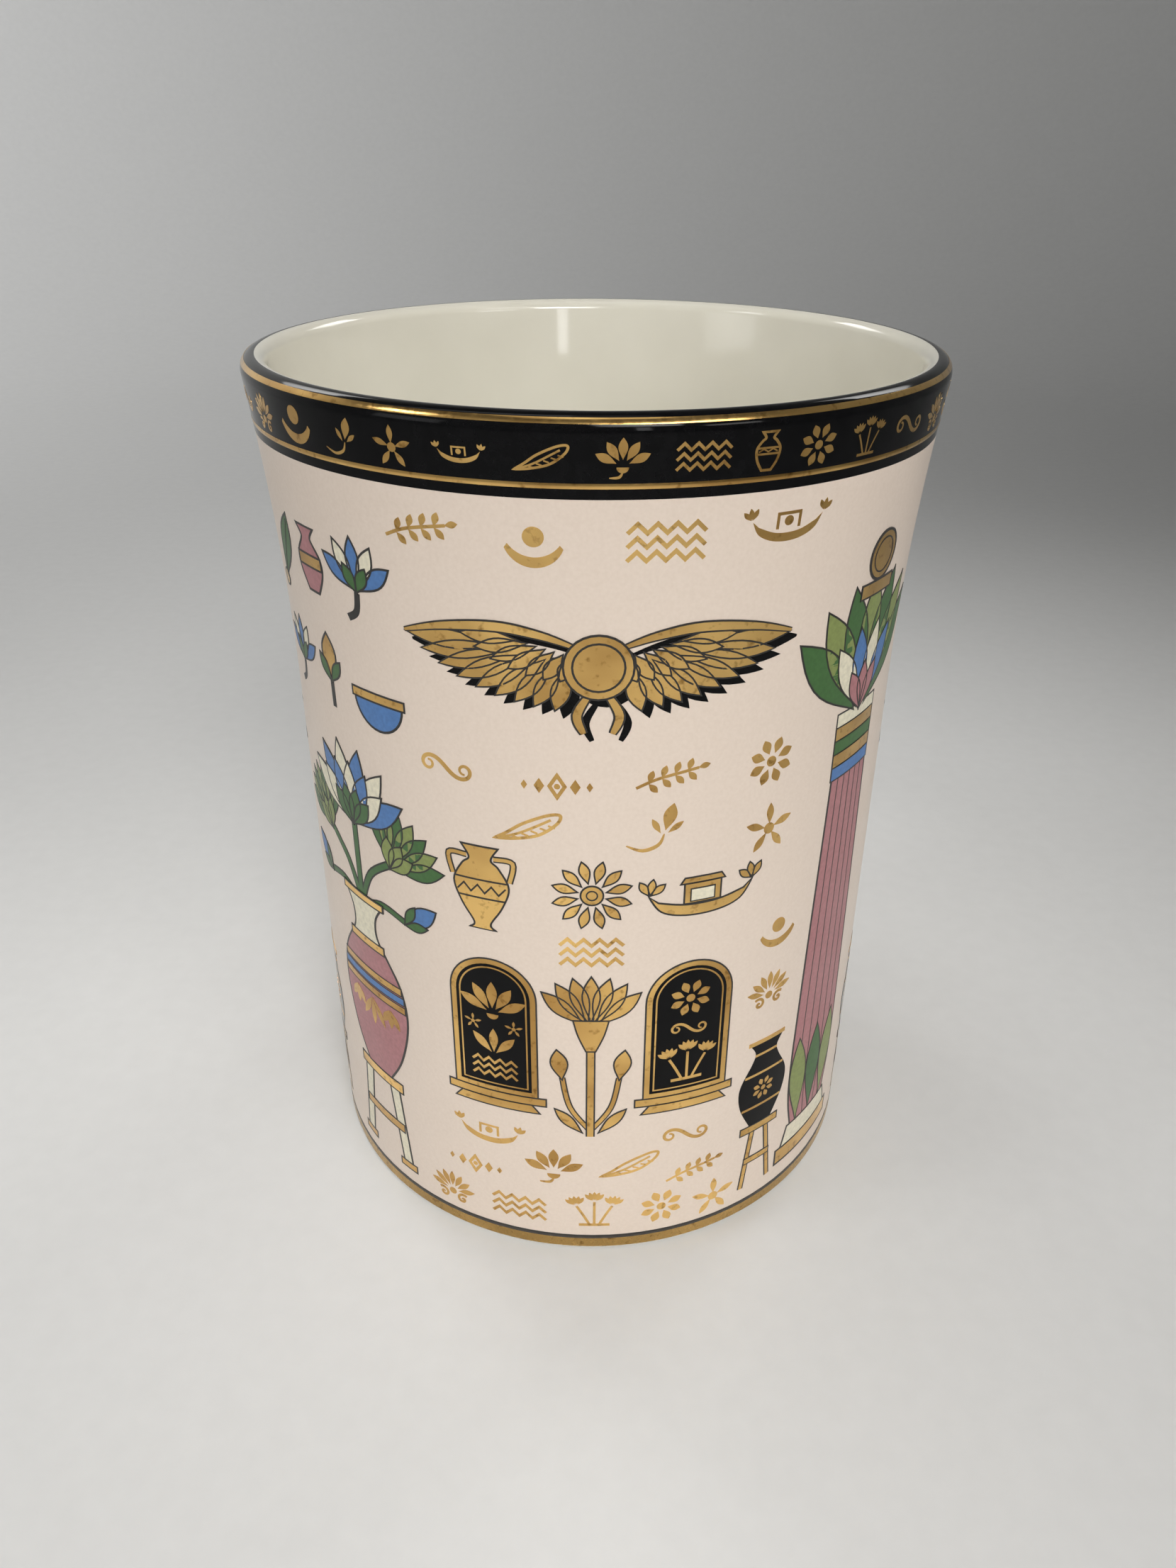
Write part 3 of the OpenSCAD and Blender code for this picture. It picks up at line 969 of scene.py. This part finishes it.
def dress_nodes():
    """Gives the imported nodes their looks."""
    for name, material in NODE_LOOKS.items():
        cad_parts[name].data.materials[0] = material


# Turned coats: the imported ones' profiles in finer facets, for clean reflections. The black ends just past
# the lip's crest, and the upper gilt line follows the lip's round


def revolve(name, loop, material, node):
    """A closed loop of (radius, height) points turned about the axis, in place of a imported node."""
    points = []
    rings = []
    for r, z in loop:
        count = TURN_SIDES if r > 0 else 1
        turns = [2 * math.pi * i / TURN_SIDES for i in range(count)]
        rings.append([len(points) + i for i in range(count)])
        points += [(r * math.sin(a) * MM, -r * math.cos(a) * MM, z * MM) for a in turns]
    faces = []
    for ring, other in zip(rings, rings[1:] + rings[:1]):
        for i in range(TURN_SIDES if len(ring) + len(other) > 2 else 0):
            j = (i + 1) % TURN_SIDES
            corners = [ring[i % len(ring)], ring[j % len(ring)], other[j % len(other)], other[i % len(other)]]
            faces.append(list(dict.fromkeys(corners)))
    obj = new_object(name, points, faces, material)
    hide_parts(node)


def band_side(depth):
    """Line on the band, from its lower edge to just over the lip's crest, at a depth under the surface."""
    lip = arc(LIP_MID_R, LIP_MID_Z, LIP_R - depth, TOUCH_DEG, BAND_END_DEG, BAND_LIP_STEPS)
    heights = [BAND_Z + (lip[0][1] - BAND_Z) * t for t in steps(BAND_STEPS)[:-1]]
    return [(wall_radius(z) - depth, z) for z in heights] + lip


def inside_line(depth):
    """Line on the lining, from the band's end to the middle of the floor, at a depth under the surface."""
    lip = arc(LIP_MID_R, LIP_MID_Z, LIP_R - depth, BAND_END_DEG, BORE_TOUCH_DEG, LINING_LIP_STEPS)
    heights = [lip[-1][1] + (FLARE_Z - lip[-1][1]) * t for t in steps(LINING_FLARE_STEPS)[1:]]
    sag = [BORE_FLARE_R - math.sqrt(BORE_FLARE_R ** 2 - (z - FLARE_Z) ** 2) for z in heights]
    flare = [(BORE_R + depth + rise, z) for rise, z in zip(sag, heights)]
    middle = BORE_R - FLOOR_FILLET
    fillet = arc(middle, FLOOR_Z + FLOOR_FILLET, FLOOR_FILLET + depth, 0, -90, FILLET_STEPS)
    return lip + flare + fillet + [(middle / 2, FLOOR_Z - depth), (0, FLOOR_Z - depth)]


def turn_coats():
    revolve("lining_smooth", inside_line(0) + inside_line(COAT_T)[::-1], GLAZE, "inner_glaze")
    revolve("band_smooth", band_side(0) + band_side(COAT_T)[::-1], BAND, "rim_band")
    low, high = UPPER_LINE_DEG
    outer = arc(LIP_MID_R, LIP_MID_Z, LIP_R + GILT_T, low, high, UPPER_LINE_STEPS)
    inner = arc(LIP_MID_R, LIP_MID_Z, LIP_R - GILT_ROOT, high, low, UPPER_LINE_STEPS)
    revolve("upper_line_smooth", outer + inner, GILT, "rim_line_upper")
    shares = steps(LOWER_LINE_STEPS)
    heights = [LOWER_LINE[0] + (LOWER_LINE[1] - LOWER_LINE[0]) * t for t in shares]
    bulge = [GILT_T * math.sin(math.pi * t) for t in shares]
    outer = [(wall_radius(z) + GILT_T / 2 + more, z) for z, more in zip(heights, bulge)]
    inner = [(wall_radius(z) - GILT_ROOT, z) for z in reversed(heights)]
    revolve("lower_line_smooth", outer + inner, GILT, "rim_line_lower")


# Handle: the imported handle's own sweep in finer rings, with fillets at its roots


HANDLE_PULLS = ((36, 82), (74.26, 92), (74.26, 26), (36, 30))
GRIP_HALF = (5.5, 3.7)
ROOT_HALF = (7.5, 5.75)
ROOT_POWER = 3
SECTION_POWER = 2.5
HANDLE_RINGS = 140
HANDLE_SIDES = 64
HANDLE_FILLET = 2.0
ROOT_DEPTH = 0.5


def rooted(point, middle):
    """A section's point, spread into a fillet near the wall and kept from going deep into it."""
    away = math.hypot(point.x, point.y) - wall_radius(point.z)
    near = min(max(1 - away / HANDLE_FILLET, 0), 1)
    arm = point - middle
    arm *= 1 + HANDLE_FILLET * (1 - math.sqrt(1 - near ** 2)) / arm.length
    out = middle + arm
    least = wall_radius(out.z) - ROOT_DEPTH
    push = max(least / math.hypot(out.x, out.y), 1)
    return Vector((out.x * push, out.y * push, out.z))


def handle_section(t):
    """Points of the section at a share of the handle's length."""
    (y0, z0), (y1, z1), (y2, z2), (y3, z3) = HANDLE_PULLS
    u = 1 - t
    y = u ** 3 * y0 + 3 * u * u * t * y1 + 3 * u * t * t * y2 + t ** 3 * y3
    z = u ** 3 * z0 + 3 * u * u * t * z1 + 3 * u * t * t * z2 + t ** 3 * z3
    dy = u * u * (y1 - y0) + 2 * u * t * (y2 - y1) + t * t * (y3 - y2)
    dz = u * u * (z1 - z0) + 2 * u * t * (z2 - z1) + t * t * (z3 - z2)
    length = math.hypot(dy, dz)
    swell = abs(2 * t - 1) ** ROOT_POWER
    half_w = GRIP_HALF[0] + (ROOT_HALF[0] - GRIP_HALF[0]) * swell
    half_t = GRIP_HALF[1] + (ROOT_HALF[1] - GRIP_HALF[1]) * swell
    ring = []
    for i in range(HANDLE_SIDES):
        a = 2 * math.pi * i / HANDLE_SIDES
        across = math.copysign(abs(math.cos(a)) ** (2 / SECTION_POWER), math.cos(a)) * half_w
        out = math.copysign(abs(math.sin(a)) ** (2 / SECTION_POWER), math.sin(a)) * half_t
        point = Vector((across, y - out * dz / length, z + out * dy / length))
        ring.append(rooted(point, Vector((0, y, z))) * MM)
    return ring


def make_handle():
    shares = [0.5 - 0.5 * math.cos(math.pi * t) for t in steps(HANDLE_RINGS)]
    points = [p for t in shares for p in handle_section(t)]
    faces = []
    for k in range(HANDLE_RINGS):
        for i in range(HANDLE_SIDES):
            j = (i + 1) % HANDLE_SIDES
            low = k * HANDLE_SIDES
            high = low + HANDLE_SIDES
            faces.append((low + i, high + i, high + j, low + j))
    faces.append(tuple(range(HANDLE_SIDES)))
    faces.append(tuple(HANDLE_RINGS * HANDLE_SIDES + i for i in reversed(range(HANDLE_SIDES))))
    obj = new_object("handle_smooth", points, faces, HANDLE_GLAZE)
    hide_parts("handle")


# Stage


FLOOR_GAP = 0.02 * MM
FLOOR_R = 0.55
BEND_R = 0.35
WALL_H = 1.3
STAGE_SIDES = 120
STAGE_INNER = ((0.02, 0), (0.2, 0))
PAPER = ((0.7, 0.7, 0.692), (0.72, 0.72, 0.712))

# Each lamp's name, place, the point it faces, its size, watts, beam in degrees and colour
WARM = (1, 0.98, 0.95)
SOFT = (1, 0.99, 0.97)
FRESH = (1, 1, 0.99)
WHITE = (1, 1, 1)
LAMPS = (
    ("key_front", (0.13, -0.56, 0.44), (-0.02, -0.06, 0.04), (0.28, 0.2), 0.22, 46, SOFT),
    ("key_right", (0.43, -0.49, 0.3), (-0.01, -0.02, 0.08), (0.2, 0.1), 0.024, 44, WARM),
    ("key_high", (0.38, -0.48, 0.6), (-0.01, -0.04, 0.05), (0.3, 0.14), 0.035, 42, WARM),
    ("key_left", (-0.54, -0.18, 0.6), (-0.03, -0.06, 0.05), (0.18, 0.13), 0.03, 38, FRESH),
    ("back_left", (-0.38, 0.44, 0.5), (0, 0.05, 0.04), (0.24, 0.18), 0.06, 40, SOFT),
    ("back_right", (0.38, 0.44, 0.5), (0, 0.05, 0.04), (0.24, 0.18), 0.06, 40, SOFT),
    ("ceiling", (-0.05, -0.05, 0.8), (-0.06, -0.02, 0), (0.4, 0.4), 0.04, 50, SOFT),
    ("strip_left", (-0.55, -0.36, 0.22), (0, 0, 0.1), (0.26, 0.24), 0.038, 60, WHITE),
    ("strip_front", (0.16, -0.65, 0.2), (0, 0, 0.1), (0.05, 0.24), 0.02, 60, WHITE),
    ("wash_left", (-0.45, -0.1, 0.75), (-0.6, 0.6, 0.35), (0.3, 0.3), 2.2, 110, WHITE),
    ("wash_front", (-0.3, 0.1, 0.9), (-0.5, -0.85, 0.3), (0.5, 0.3), 1.2, 120, WHITE),
)
WORLD_COLOUR = (0.97, 0.98, 1)
WORLD_STRENGTH = 0.13


def round_backdrop():
    """Pale round floor that curves up into a wall, in one smooth sheet of paper."""
    bend = arc(FLOOR_R, BEND_R, BEND_R, -90, 0, 24)
    line = [(r, z - FLOOR_GAP) for r, z in (*STAGE_INNER, *bend, (FLOOR_R + BEND_R, WALL_H))]
    points = []
    faces = []
    for i in range(STAGE_SIDES):
        a = 2 * math.pi * i / STAGE_SIDES
        points += [(r * math.cos(a), r * math.sin(a), z) for r, z in line]
        here = i * len(line)
        there = (i + 1) % STAGE_SIDES * len(line)
        faces += [(here + k, there + k, there + k + 1, here + k + 1) for k in range(len(line) - 1)]
    faces.append([i * len(line) for i in range(STAGE_SIDES)])
    mesh = bpy.data.meshes.new("backdrop")
    mesh.from_pydata(points, [], faces)
    mesh.shade_smooth()
    mesh.materials.append(enamel("paper", *PAPER, 300, (0.8, 0.9), 0.01 * MM))
    link("backdrop", mesh)


def softbox(name, place, aim, size, power, beam_deg, colour):
    """A soft rectangular lamp that faces a point, with its beam narrowed to an angle."""
    data = bpy.data.lights.new(name, "AREA")
    data.shape = "RECTANGLE"
    data.size, data.size_y = size
    data.energy = power
    data.spread = math.radians(beam_deg)
    data.color = colour
    lamp = link(name, data)
    lamp.location = place
    lamp.rotation_euler = (Vector(aim) - Vector(place)).to_track_quat("-Z", "Y").to_euler()


def light_world():
    world = bpy.data.worlds.new("studio")
    world.use_nodes = True
    shader = world.node_tree.nodes["Background"]
    shader.inputs["Color"].default_value = (*WORLD_COLOUR, 1)
    shader.inputs["Strength"].default_value = WORLD_STRENGTH
    bpy.context.scene.world = world


def make_camera():
    data = bpy.data.cameras.new("camera")
    data.sensor_width = SENSOR_W
    data.lens = SENSOR_W * FOCAL_PX / max(IMAGE_W, IMAGE_H)
    data.clip_start = CLIP_START
    camera = link("camera", data)
    camera.location = CAMERA_PLACE
    camera.rotation_euler = [math.radians(a) for a in CAMERA_TURN_DEG]
    bpy.context.scene.camera = camera


dress_nodes()
turn_coats()
make_handle()
print_design()
round_backdrop()
for lamp_row in LAMPS:
    softbox(*lamp_row)
light_world()
make_camera()
bpy.context.scene.view_settings.view_transform = "Standard"
